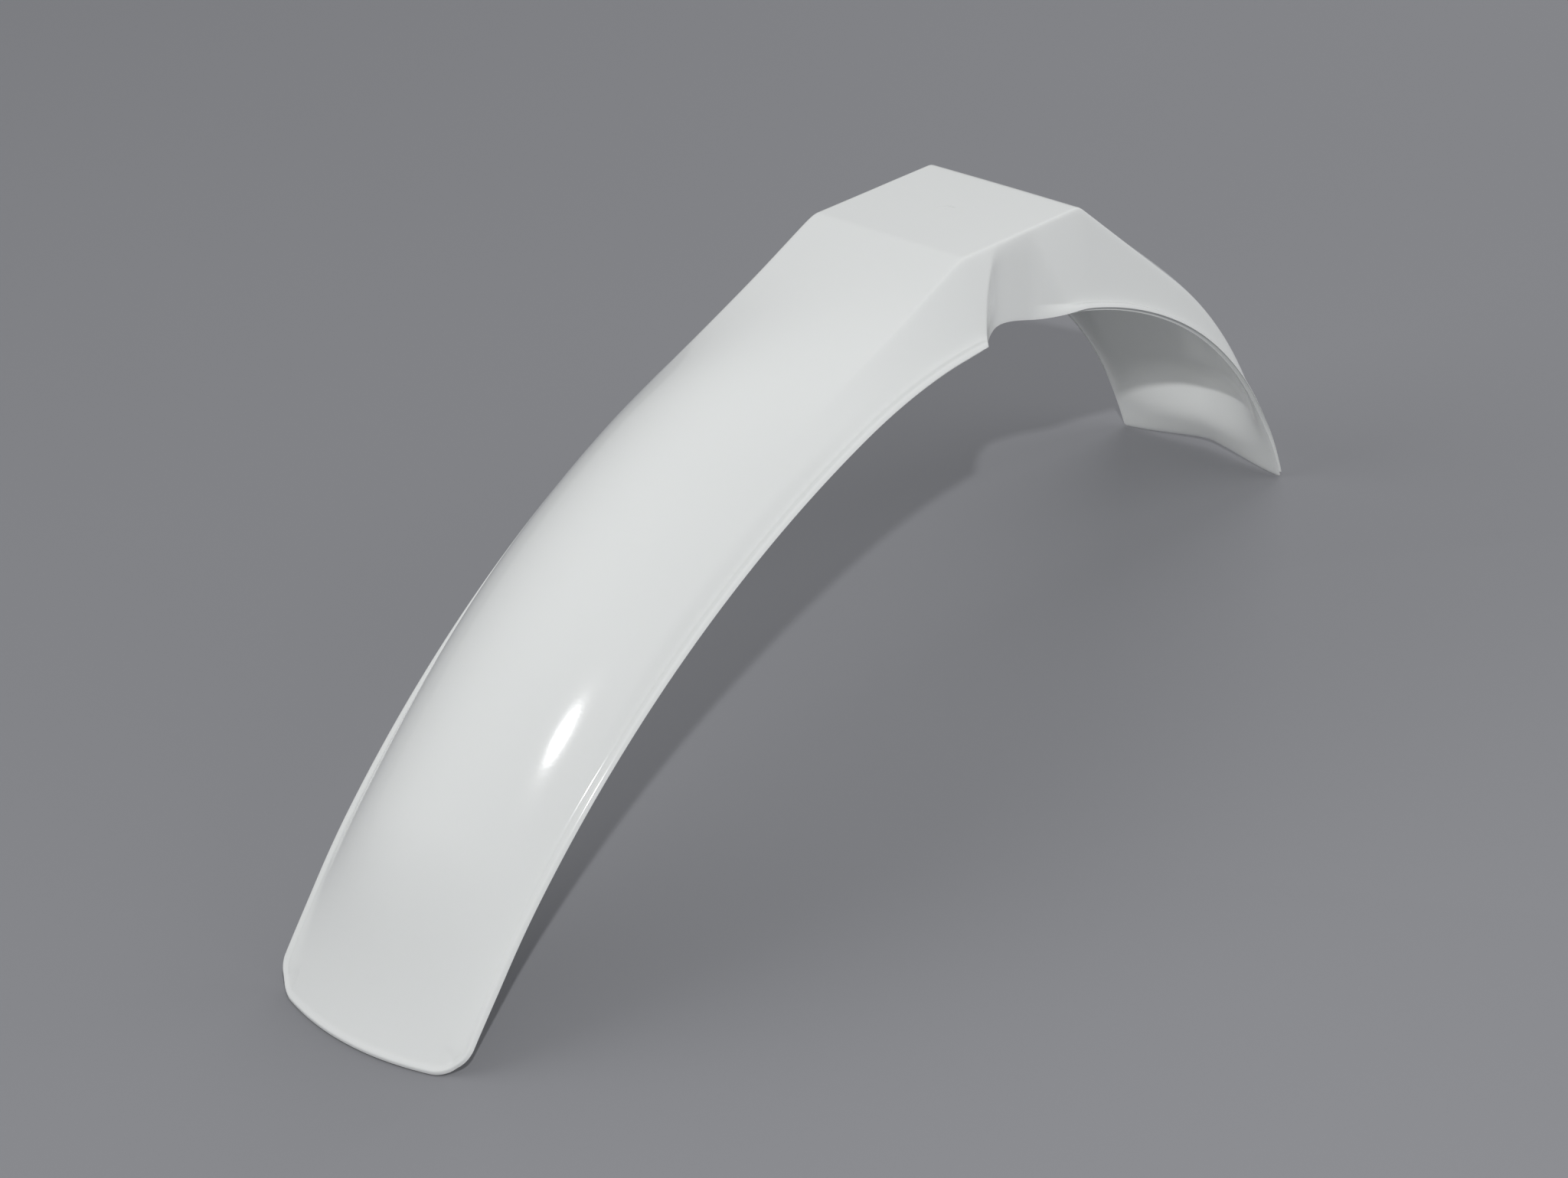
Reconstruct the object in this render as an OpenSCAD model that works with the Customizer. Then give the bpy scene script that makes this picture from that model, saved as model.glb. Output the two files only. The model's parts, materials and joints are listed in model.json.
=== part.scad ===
// Front mudguard of an off-road motorcycle, moulded in one piece.
// Millimetres. X points forward along the wheel, Y to the rider's left and Z up.
// The shell lies on the floor on its front corners and its rear corners, and the
// origin is under the middle of its box.
//
// The form is a loft. A side line, made of three tangent arcs, carries the foot of
// the side walls. A crown line and a shoulder line, each a flat, a ramp and an arc,
// give the height over it, and every cross section is a crowned top, two sloping
// walls and a turned-out lip between them.

/* [Side line] */
// Height of the mounting top over the highest point of the side line
line_drop = 40.6; // [36:0.1:50]
// How far that highest point lies ahead of the fork legs
line_ahead = 29.6; // [20:0.1:40]
// Radius of the middle arc, over the wheel
mid_r = 293; // [260:1:340]
// Angle at which the middle arc runs into the front arc
front_join = 20.5; // [18:0.5:24]
// Radius of the front arc
front_r = 610; // [480:5:900]
// Angle at which the middle arc runs into the rear arc
rear_join = 32.3; // [28:0.1:36]
// Radius of the rear arc
rear_r = 242; // [200:1:300]
// Length along the line from its highest point to the front tip
front_len = 491; // [430:1:560]
// Length along the line from its highest point to the rear edge
rear_len = 331; // [290:1:350]

/* [Mounting top] */
// Length of the flat top ahead of the fork legs
top_front = 40; // [34:0.5:50]
// Length of the flat top behind the fork legs
top_rear = 53; // [46:0.5:60]
// Width of the flat top between its shoulders
top_w = 101.2; // [92:0.2:108]
// Rounding of the shoulders, as the depth that it takes off the edge
shoulder_soft = 3; // [1:0.5:5]

/* [Front blade] */
// Slope of the ramp ahead of the top, along the shoulders
front_slope = 22.3; // [18:0.1:27]
// Length of that ramp
front_ramp = 62; // [50:1:75]
// Radius of the shoulder line ahead of the ramp
front_edge_r = 480; // [420:1:530]
// Slope at which the ridge of the arch leaves the top
arch_slope = 7; // [4:0.5:10]
// Radius of that ridge
arch_r = 556; // [500:2:620]
// Height at which the arch meets its short side walls
arch_edge = 6; // [3:0.25:9]
// Slope of these walls
arch_wall = 74; // [60:1:80]
// Rounding between arch and side wall
arch_soft = 2; // [1:0.25:4]
// Height of the arch at the front edge
tip_crown = 9; // [5:0.5:14]
// Height at which it meets its side walls there
tip_edge = 2.8; // [2:0.2:5]
// Length over which the arch sinks to that edge
tip_fade = 110; // [70:5:160]

/* [Rear blade] */
// Slope of the ramp behind the top, along the crown
rear_slope = 34; // [32:0.1:36]
// Length of that ramp along the crown
rear_ramp = 46; // [35:1:60]
// Radius of the crown line behind the ramp
rear_crown_r = 435; // [350:1:520]
// Slope of the ramp behind the top, along the shoulders
rear_edge_slope = 39.7; // [38:0.1:42]
// Length of that ramp along the shoulders
rear_edge_ramp = 105; // [90:1:115]
// Radius of the shoulder line behind the ramp
rear_edge_r = 266; // [240:1:320]
// Exponent of the crown curve across the rear blade
rear_crown = 2.2; // [1.8:0.1:3]

/* [Widths over the lip] */
// Width just ahead of the fork legs
fork_w = 140; // [134:0.2:146]
// How much narrower it is halfway along the front blade
waist_in = 6.2; // [0:0.2:12]
// How much narrower it is at the front tip, before its corners are rounded
tip_in = 8.4; // [2:0.2:16]
// How much narrower it is just behind the fork legs
rear_fork_in = 10; // [6:0.2:14]
// How much narrower it is at the rear edge
rear_in = 30.6; // [24:0.2:36]

/* [Lip] */
// Width of the turned-out lip
lip_w = 5.2; // [4.4:0.1:7]
// Width of the lip at the rear edge
rear_lip_w = 3; // [2:0.25:4]
// Height of the lip over the side line
lip_rise = 1.6; // [0.8:0.1:2.4]
// Depth to which its outer face turns down
lip_turn = 3.6; // [2:0.2:5]
// Rounding of the valley between wall and lip
valley_soft = 1.6; // [0.6:0.1:3]
// Angle by which the lip turns up at the two ends
lip_kick = 20; // [0:1:30]
// Radius of the two front corners
tip_corner_r = 24; // [12:1:34]
// How far the front edge bows out ahead of its corners
tip_bow = 7; // [0:0.5:12]
// Radius of the two rear corners
rear_corner_r = 4; // [2:0.5:10]

/* [Fork recesses] */
// Distance between the two fork legs
leg_gap = 207; // [198:1:214]
// Radius of the room kept round each leg
leg_r = 54; // [51:0.5:58]
// Least step from the top's edge to the recess wall
recess_ledge = 0.8; // [0.4:0.1:2]
// Where the recess turns out again, behind the legs
recess_end = 21.5; // [18:0.5:26]
// Slope of the wall behind that, out to the side wall
recess_flare = 20; // [16:1:26]
// Depth to which the lip folds down inside the recess
skirt = 7; // [4:0.5:9]

/* [Moulding] */
// Thickness of the moulded wall
wall_t = 2.5; // [2:0.1:3.2]

/* [Hidden] */
// Half breadths of the plan
b_top = top_w / 2;
w_fork = fork_w / 2;
w_waist = w_fork - waist_in / 2;
w_tip = w_fork - tip_in / 2;
w_rear_fork = w_fork - rear_fork_in / 2;
w_rear = w_fork - rear_in / 2;
// Lengths over which one shape turns into the next
fork_blend = 43;
fan_out = 60;
kick_fade = 60;
bow_fade = 100;
skirt_fade = 14;
edge_fade = 150;
// Height over which a rail runs out into the even height of the front half
rail_blend = 8;
// Height over which the arch and the shouldered box run into each other
arch_blend = 5;
// Least height of the rear shoulders, and the rounding towards it
shoulder_least = 0.2;
shoulder_blend = 2;
// Rounding where the recess leaves the top and where it meets the side wall
recess_soft = 1.5;
// Where the lip opens out again, before and past the recess's end
open_before = 6;
open_past = 8;
// Least breadth of the side wall in plan, and least share of the ramp's fall
wall_least = 1;
fall_least = 0.05;
// The recess: the arc's middle, and where it starts at the shoulder
leg_y = leg_gap / 2;
recess_top = b_top + 2.1;
recess_x = circle_x(recess_top);
recess_s = line_s(recess_x);
// Stations where the flat top ends, and where the recess turns out
s_top_front = line_s(top_front);
s_top_rear = line_s(-top_rear);
s_recess_end = line_s(-recess_end);
s_lip_front = line_s(circle_x(w_fork));
// Rows of the loft, as stations along the side line
ROWS = concat(
    spread(-rear_len, rear_corner_r - rear_len, 2),
    spread(rear_corner_r - rear_len, s_top_rear - fan_out, 10),
    spread(s_top_rear - fan_out, s_top_rear, 5),
    spread(s_top_rear, s_recess_end, 6),
    spread(s_recess_end, recess_s, 9),
    spread(recess_s, s_top_front, 4),
    spread(s_top_front, s_top_front + fan_out, 6),
    spread(s_top_front + fan_out, front_len - tip_corner_r, 18),
    spread(front_len - tip_corner_r, front_len - lip_w, 4),
    spread(front_len - lip_w, front_len, 2),
    [front_len]);
// Columns of the loft, as shares of the crown, of the wall and of the lip, the last
// with the share of its turned face below them
CROWN = [0, 0.2, 0.4, 0.56, 0.7, 0.82, 0.91, 0.96, 1];
WALL = [0.1, 0.25, 0.45, 0.7, 0.85, 0.94, 1];
LIP = [0.35, 0.62, 1];
TURN = [0, 0, 1];
HALF = len(CROWN) + len(WALL) + len(LIP) - 1;
COLS = 2 * HALF + 1;

// Steps from 0 to 1 between a and b, level at both ends
function step(a, b, x) = let (t = min(max((x - a) / (b - a), 0), 1)) t * t * (3 - 2 * t);
// The larger and the smaller of two heights, rounded over a band k
function larger(a, b, k) = let (t = min(max(0.5 + (a - b) / k / 2, 0), 1))
    b * (1 - t) + a * t + k * t * (1 - t);
function smaller(a, b, k) = -larger(-a, -b, k);
function mix(a, b, t) = a + (b - a) * t;
// n values from a towards b, without b itself
function spread(a, b, n) = [for (k = [0 : n - 1]) a + (b - a) * k / n];

// Tangent angle of the side line at station s, in degrees, and its point in X and Z
function line_angle(s) = let (
    s_f = mid_r * front_join * PI / 180,
    s_r = -mid_r * rear_join * PI / 180)
    s > s_f ? front_join + (s - s_f) / front_r * 180 / PI :
    s < s_r ? -rear_join + (s - s_r) / rear_r * 180 / PI : s / mid_r * 180 / PI;
function line_point(s) = let (
    a = line_angle(s), m = min(max(a, -rear_join), front_join),
    r = a > m ? front_r : rear_r)
    [line_ahead + mid_r * sin(m) + r * (sin(a) - sin(m)),
     -line_drop + mid_r * (cos(m) - 1) + r * (cos(a) - cos(m))];
// Station of the point of the middle arc at x
function line_s(x) = mid_r * asin((x - line_ahead) / mid_r) * PI / 180;
// Lean of the section plane: upright between the fork legs, square to the line beyond
function lean(s) = line_angle(s)
    * (s > 0 ? step(s_top_front, s_top_front + fan_out, s) : step(-s_top_rear, fan_out - s_top_rear, -s));

// Height from p, up a plane that leans by a, to a rail: flat top, ramp, then tangent arc.
// The rear rails are the front ones looked at from behind.
function rail(p, a, flat, slope, ramp, r) = let (
    n = sin(a), c = cos(a),
    h_flat = -p[1] / c,
    h_ramp = (-(p[0] - flat) * tan(slope) - p[1]) / max(c + n * tan(slope), fall_least),
    x_arc = flat + ramp * cos(slope), z_arc = -ramp * sin(slope),
    d = [p[0] - x_arc + r * sin(slope), p[1] - z_arc + r * cos(slope)],
    along = d[0] * n + d[1] * c,
    h_arc = -along + sqrt(max(along * along - d * d + r * r, 0)))
    p[0] + h_flat * n <= flat ? h_flat : p[0] + h_ramp * n <= x_arc ? h_ramp : h_arc;
function front_h(p, a) = larger(rail(p, a, top_front, front_slope, front_ramp, front_edge_r), 0, rail_blend);
function crown_h(p, a) = rail([-p[0], p[1]], -a, top_rear, rear_slope, rear_ramp, rear_crown_r);
function shoulder_h(p, a, h) = min(h, larger(
    rail([-p[0], p[1]], -a, top_rear, rear_edge_slope, rear_edge_ramp, rear_edge_r),
    shoulder_least, shoulder_blend));
// Height of the arch's ridge, which sinks towards the front edge, and of its sides
function arch_h(s, p, a) = mix(
    larger(rail(p, a, top_front, arch_slope, 0, arch_r), tip_crown, rail_blend),
    tip_crown, step(front_len - tip_fade, front_len, s));
function side_h(s) = mix(arch_edge, tip_edge, step(front_len - tip_fade - edge_fade, front_len - tip_fade, s));

// Half breadth over the lip
function front_w(u) = w_fork * (1 - u) * (1 - 2 * u) + 4 * u * (1 - u) * w_waist + w_tip * u * (2 * u - 1);
function half_w(s) = let (
    u = max((s - s_lip_front) / (front_len - s_lip_front), 0),
    v = max((recess_s - s) / (recess_s + rear_len), 0))
    mix(mix(w_rear_fork, w_rear, v), front_w(u), step(-fork_blend, 0, s - recess_s));
// Breadth of the lip, and half breadth of the shell at its foot
function lip_b(s) = mix(rear_lip_w, lip_w, step(-rear_len, s_recess_end, s));
function foot_y(s) = half_w(s) - lip_b(s);
// Half breadth of the crown, up to the shoulder
function half_b(s) = let (v = min(max((s_top_rear - s) / (s_top_rear + rear_len), 0), 1))
    min(mix(b_top, w_rear - rear_lip_w - wall_least, v), foot_y(s) - wall_least);

// Height of the outer face over the side line, at y in the section at station s: a
// shouldered box all along, and ahead of the top an arch that grows out of it
function outer_h(s, y) = let (
    a = lean(s), p = line_point(s), b = half_b(s), foot = foot_y(s), front = p[0] > 0,
    h = front ? front_h(p, a) : crown_h(p, a),
    edge = front ? h : shoulder_h(p, a, h),
    crown = h - (h - edge) * pow(y / b, rear_crown),
    box = smaller(crown, edge * (foot - y) / (foot - b), shoulder_soft),
    side = side_h(s),
    bow = side + (arch_h(s, p, a) - side) * (1 - pow(y / foot, 2)),
    arch = smaller(bow, (foot - y) * tan(arch_wall), arch_soft),
    grown = step(0, fan_out, s - s_top_front))
    larger(grown > 0 ? larger(box, arch, arch_blend * grown) : box, lip_rise, valley_soft);

// Room kept for the fork leg: the arc round it, at height y, and the wall behind it
function circle_x(y) = sqrt(leg_r * leg_r - pow(leg_y - y, 2));
function recess_y(x) = let (
    arc = leg_y - sqrt(max(leg_r * leg_r - x * x, 0)),
    turn = leg_y - sqrt(leg_r * leg_r - recess_end * recess_end),
    flared = turn + (-recess_end - x) * tan(recess_flare))
    x < -recess_end ? flared : x > leg_r - wall_least ? w_fork + lip_w
        : larger(arc, b_top + recess_ledge, recess_soft);
// How far a row swings forward at y, so that one row runs along the recess's front edge
function swing(s, y) = let (
    w = s > recess_s ? 1 - step(0, fan_out, s - recess_s) : step(s_recess_end, recess_s, s))
    y > recess_top ? w * (line_s(circle_x(min(y, w_fork))) - recess_s) : 0;

// Rounds a corner in plan: the last r millimetres before the end and before the side
// are drawn in on quarter circles round one centre
function rounded(end, side, r) = let (
    d = min(end, side),
    turn = side >= end ? 45 * (1 - (side - end) / (r - end)) : 90 - 45 * (1 - (end - side) / (r - side)))
    end >= r || side >= r ? [end, side] : [r - (r - d) * cos(turn), r - (r - d) * sin(turn)];

// Breadth of a column in the section at station s, counted outwards from the middle
function column_y(s, k) = let (b = half_b(s), foot = foot_y(s), m = len(CROWN) - 1)
    k <= m ? b * CROWN[k] :
    k <= m + len(WALL) ? mix(b, foot, WALL[k - m - 1]) : foot + lip_b(s) * LIP[k - m - 1 - len(WALL)];

// A point of the outer face, in the frame of the mounting top
function outer_point(s0, col) = let (
    y0 = column_y(s0, abs(col)),
    s = s0 + swing(s0, y0),
    w = half_w(s),
    front = s > 0,
    end = front ? front_len - s : s + rear_len,
    plan = rounded(end, w - y0, front ? tip_corner_r : rear_corner_r),
    bow = front ? tip_bow * pow(y0 / w, 2) * (1 - step(0, bow_fade, end)) : 0,
    s1 = (front ? front_len - plan[0] : plan[0] - rear_len) - bow,
    y1 = w - plan[1],
    kick = tan(lip_kick) * max(lip_b(s) - min(end, w - y0), 0) * (1 - step(0, kick_fade, end)),
    a = lean(s1), p = line_point(s1),
    x = p[0],
    // In the recess the wall is held in and the lip is folded down
    room = recess_y(x),
    inside = x < circle_x(w_fork) && x > -top_rear,
    foot = foot_y(s),
    lip = max(y1 - foot, 0) / lip_b(s),
    open = step(-recess_end + open_before, -recess_end - open_past, x),
    fold = inside ? step(circle_x(w_fork), circle_x(w_fork) - skirt_fade, x) * (1 - open) : 0,
    base = inside ? (x > 0 ? min(min(y1, foot), room) : smaller(min(y1, foot), room, recess_soft))
        : min(y1, foot),
    y2 = lip == 0 ? base : inside && x > 0 ? min(y1, room) : base + (w - base) * lip * (inside ? open : 1),
    k = abs(col) - len(CROWN) - len(WALL),
    turn = k < 0 ? 0 : lip_turn * TURN[k] * lip_b(s) / lip_w * step(0, kick_fade, end) * (1 - fold),
    h = outer_h(s, y0) + kick - turn - skirt * lip * fold)
    [x + h * sin(a), sign(col) * y2, p[1] + h * cos(a)];

OUTER = [for (s = ROWS) [for (c = [-HALF : HALF]) outer_point(s, c)]];
// Outward normal of each cell of the net, as long as the cell is large, and the normal
// at a point, from the cells round it
CELLS = [for (i = [0 : len(ROWS) - 2]) [for (j = [0 : COLS - 2])
    cross(OUTER[i + 1][j + 1] - OUTER[i][j], OUTER[i][j + 1] - OUTER[i + 1][j])]];
function normal(i, j) = let (
    above = CELLS[min(i, len(ROWS) - 2)], below = CELLS[max(i - 1, 0)],
    right = min(j, COLS - 2), left = max(j - 1, 0),
    n = above[left] + above[right] + below[left] + below[right])
    n / norm(n);
INNER = [for (i = [0 : len(ROWS) - 1]) [for (j = [0 : COLS - 1]) OUTER[i][j] - wall_t * normal(i, j)]];

// Lying on the floor: the lowest point of each half under a given tilt, and the tilt
// of the line through both
function turned(p, t) = [p[0] * cos(t) + p[2] * sin(t), p[1], p[2] * cos(t) - p[0] * sin(t)];
function lowest(points, t) = let (h = [for (p = points) turned(p, t)[2]])
    points[search(min(h), h)[0]];
front_foot = [for (i = [len(ROWS) - 8 : len(ROWS) - 1]) for (p = INNER[i]) p];
rear_foot = [for (i = [0 : 3]) for (p = INNER[i]) p];
function rest_tilt(t, n) = let (f = lowest(front_foot, t), r = lowest(rear_foot, t))
    n == 0 ? t : rest_tilt(atan2(f[2] - r[2], f[0] - r[0]), n - 1);
tilt = rest_tilt(-6, 3);
floor_z = turned(lowest(front_foot, tilt), tilt)[2];
NET = [for (skin = [OUTER, INNER]) for (row = skin) for (p = row) turned(p, tilt)];
middle_x = (min([for (p = NET) p[0]]) + max([for (p = NET) p[0]])) / 2;

// Faces of the two skins, and of the rim that joins them
function id(skin, i, j) = (skin * len(ROWS) + i) * COLS + j;
SKIN = [for (skin = [0, 1]) for (i = [0 : len(ROWS) - 2]) for (j = [0 : COLS - 2])
    let (q = [id(skin, i, j), id(skin, i + 1, j), id(skin, i + 1, j + 1), id(skin, i, j + 1)])
    for (t = [[q[0], q[1], q[2]], [q[0], q[2], q[3]]]) skin == 0 ? [t[2], t[1], t[0]] : t];
EDGE = concat(
    [for (j = [0 : COLS - 2]) [0, j]],
    [for (i = [0 : len(ROWS) - 2]) [i, COLS - 1]],
    [for (j = [COLS - 1 : -1 : 1]) [len(ROWS) - 1, j]],
    [for (i = [len(ROWS) - 1 : -1 : 1]) [i, 0]]);
RIM = [for (k = [0 : len(EDGE) - 1]) let (
    a = EDGE[k], b = EDGE[(k + 1) % len(EDGE)],
    q = [id(0, a[0], a[1]), id(0, b[0], b[1]), id(1, b[0], b[1]), id(1, a[0], a[1])])
    for (t = [[q[2], q[1], q[0]], [q[3], q[2], q[0]]]) t];

module mudguard() {
    color("whitesmoke")
        translate([-middle_x, 0, -floor_z])
            polyhedron(points = NET, faces = concat(SKIN, RIM), convexity = 6);
}

mudguard();
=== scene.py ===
"""Studio scene of a long off-road motorcycle front mudguard, moulded in one piece.

The mudguard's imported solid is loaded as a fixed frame. The script then builds the same
form as one fine shell with rounded rims, gives it the finish of glossy white polypropylene,
and sets it on a plain grey floor, under one small hard lamp and three large soft ones.
All lengths are in metres and all fields that hold angles are in radians, apart from a
rail's slope, which is in degrees.
"""
import json
import logging
import math
from dataclasses import dataclass, field
from enum import Enum

import bpy
import numpy as np
from mathutils import Matrix, Vector


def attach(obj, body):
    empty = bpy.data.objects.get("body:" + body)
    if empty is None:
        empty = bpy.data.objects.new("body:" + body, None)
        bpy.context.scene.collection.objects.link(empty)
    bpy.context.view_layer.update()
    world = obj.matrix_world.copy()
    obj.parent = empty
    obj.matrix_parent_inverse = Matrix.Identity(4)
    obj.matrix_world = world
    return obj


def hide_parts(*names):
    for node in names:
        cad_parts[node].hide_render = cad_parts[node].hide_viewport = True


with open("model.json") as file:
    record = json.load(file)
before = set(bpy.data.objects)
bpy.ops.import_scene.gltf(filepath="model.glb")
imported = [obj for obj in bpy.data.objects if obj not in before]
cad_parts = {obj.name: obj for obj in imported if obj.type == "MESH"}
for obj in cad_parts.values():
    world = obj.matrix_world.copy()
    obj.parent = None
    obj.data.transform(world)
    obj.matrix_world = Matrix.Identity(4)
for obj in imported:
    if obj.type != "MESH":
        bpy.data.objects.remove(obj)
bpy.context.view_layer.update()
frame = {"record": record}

LOG = logging.getLogger("mudguard")
NODE = "mudguard"
BODY = "root"
Array = np.ndarray


def ease(start: float, end: float, x: Array) -> Array:
    """Rises from 0 at start to 1 at end as 3t squared less 2t cubed, level at both ends."""
    t = np.clip((x - start) / (end - start), 0.0, 1.0)
    return t * t * (3.0 - 2.0 * t)


def larger(a: Array, b: Array, band: float | Array) -> Array:
    """The larger of two values, with a parabola where they differ by less than band."""
    t = np.clip(0.5 + 0.5 * (a - b) / band, 0.0, 1.0)
    return b * (1.0 - t) + a * t + band * t * (1.0 - t)


def smaller(a: Array, b: Array, band: float | Array) -> Array:
    """The smaller of two values, rounded in the same way."""
    return -larger(-a, -b, band)


def mix(a: Array, b: Array, t: Array) -> Array:
    """The value a share t of the way from a to b."""
    return a + (b - a) * t


@dataclass(frozen=True)
class SideLine:
    """The line along the foot of the side walls: three tangent arcs in the XZ plane.

    A station is a length along the line from its highest point, positive forwards. That
    point lies ahead of the fork legs, and under the flat top by the drop. Each outer arc
    starts where the line has turned by its join's angle.
    """

    drop: float = 0.0406
    ahead: float = 0.0296
    mid_r: float = 0.293
    front_join: float = math.radians(20.5)
    front_r: float = 0.610
    rear_join: float = math.radians(32.3)
    rear_r: float = 0.242
    front_len: float = 0.4907
    rear_len: float = 0.3295

    def angle(self, s: Array) -> Array:
        """Tangent angle at station s, in radians, growing forwards.

        Args:
            s: stations.

        Returns:
            The station over the radius of the arc that holds it, counted on from the join.
        """
        s_front = self.mid_r * self.front_join
        s_rear = -self.mid_r * self.rear_join
        front = self.front_join + (s - s_front) / self.front_r
        rear = -self.rear_join + (s - s_rear) / self.rear_r
        return np.where(s > s_front, front, np.where(s < s_rear, rear, s / self.mid_r))

    def point(self, s: Array) -> tuple[Array, Array]:
        """The point of the line at station s, as X and Z.

        Args:
            s: stations.

        Returns:
            The middle arc's point at the angle held inside that arc, and then the way
            along the front or the rear arc from its join.
        """
        a = self.angle(s)
        m = np.clip(a, -self.rear_join, self.front_join)
        r = np.where(a > m, self.front_r, self.rear_r)
        x = self.ahead + self.mid_r * np.sin(m) + r * (np.sin(a) - np.sin(m))
        z = -self.drop + self.mid_r * (np.cos(m) - 1.0) + r * (np.cos(a) - np.cos(m))
        return x, z

    def station(self, x: Array) -> Array:
        """Station of the point of the middle arc at x."""
        return self.mid_r * np.arcsin((x - self.ahead) / self.mid_r)


@dataclass(frozen=True)
class Rail:
    """A line in side view: the flat top, a ramp down from its edge, then a tangent arc.

    The fields are the length of the flat from the fork legs, the slope of the ramp in
    degrees, the ramp's length, the arc's radius and the height over which the crease
    between flat and ramp is rounded.
    """

    flat: float
    slope: float
    ramp: float
    radius: float
    crease: float = 0.0004
    least_closing: float = 0.05

    def height(self, x: Array, z: Array, lean: Array) -> Array:
        """Distance from a point to the rail, up a plane that leans by a given angle.

        Args:
            x: the point's X, measured from the fork legs towards this rail's end.
            z: the point's Z under the flat top.
            lean: the plane's lean towards this rail's end, in radians.

        Returns:
            The distance to the flat or to the ramp and its arc, whichever is lower, rounded
            over the crease between them. The distance to the ramp is its height over the
            point, divided by how fast the plane closes on it, which is held above zero.
        """
        n, c = np.sin(lean), np.cos(lean)
        tilt = math.radians(self.slope)
        to_flat = -z / c
        over = -(x - self.flat) * math.tan(tilt) - z
        to_ramp = over / np.maximum(c + n * math.tan(tilt), self.least_closing)
        x_arc = self.flat + self.ramp * math.cos(tilt)
        z_arc = -self.ramp * math.sin(tilt)
        dx = x - x_arc + self.radius * math.sin(tilt)
        dz = z - z_arc + self.radius * math.cos(tilt)
        along = dx * n + dz * c
        to_arc = -along + np.sqrt(np.maximum(along**2 - dx**2 - dz**2 + self.radius**2, 0.0))
        on_ramp = np.where(x + to_ramp * n <= x_arc, to_ramp, to_arc)
        return smaller(to_flat, on_ramp, self.crease)


@dataclass(frozen=True)
class ForkRecess:
    """The room kept beside each fork leg: an arc round the leg and a flared wall behind it.

    Beside the recess the lip is folded down into a skirt, which starts within the length
    fold_in of the arc's front end and is opened again between open_start and open_end,
    both measured forwards from the place where the flared wall starts.
    """

    leg_y: float = 0.1035
    leg_r: float = 0.054
    ledge: float = 0.0008
    end: float = 0.0215
    flare: float = math.radians(20.0)
    skirt: float = 0.0093
    fold_in: float = 0.009
    open_start: float = 0.010
    open_end: float = -0.026
    arc_margin: float = 0.001
    soft: float = 0.0015

    def arc_x(self, y: Array) -> Array:
        """How far ahead of the leg's middle the arc lies at breadth y."""
        return np.sqrt(np.maximum(self.leg_r**2 - (self.leg_y - y) ** 2, 0.0))

    def breadth(self, x: Array, shoulder: float, beyond: float) -> Array:
        """Half breadth left for the wall at x.

        Args:
            x: distance ahead of the leg's middle.
            shoulder: half breadth of the flat top.
            beyond: a half breadth that clears the shell, used ahead of the arc.

        Returns:
            The arc, held a ledge outside the shoulder, and behind the legs a straight flare.
        """
        arc = self.leg_y - np.sqrt(np.maximum(self.leg_r**2 - x**2, 0.0))
        turn = self.leg_y - math.sqrt(self.leg_r**2 - self.end**2)
        flared = turn + (-self.end - x) * math.tan(self.flare)
        held = larger(arc, np.full_like(arc, shoulder + self.ledge), self.soft)
        ahead = x > self.leg_r - self.arc_margin
        return np.where(x < -self.end, flared, np.where(ahead, beyond, held))


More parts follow.
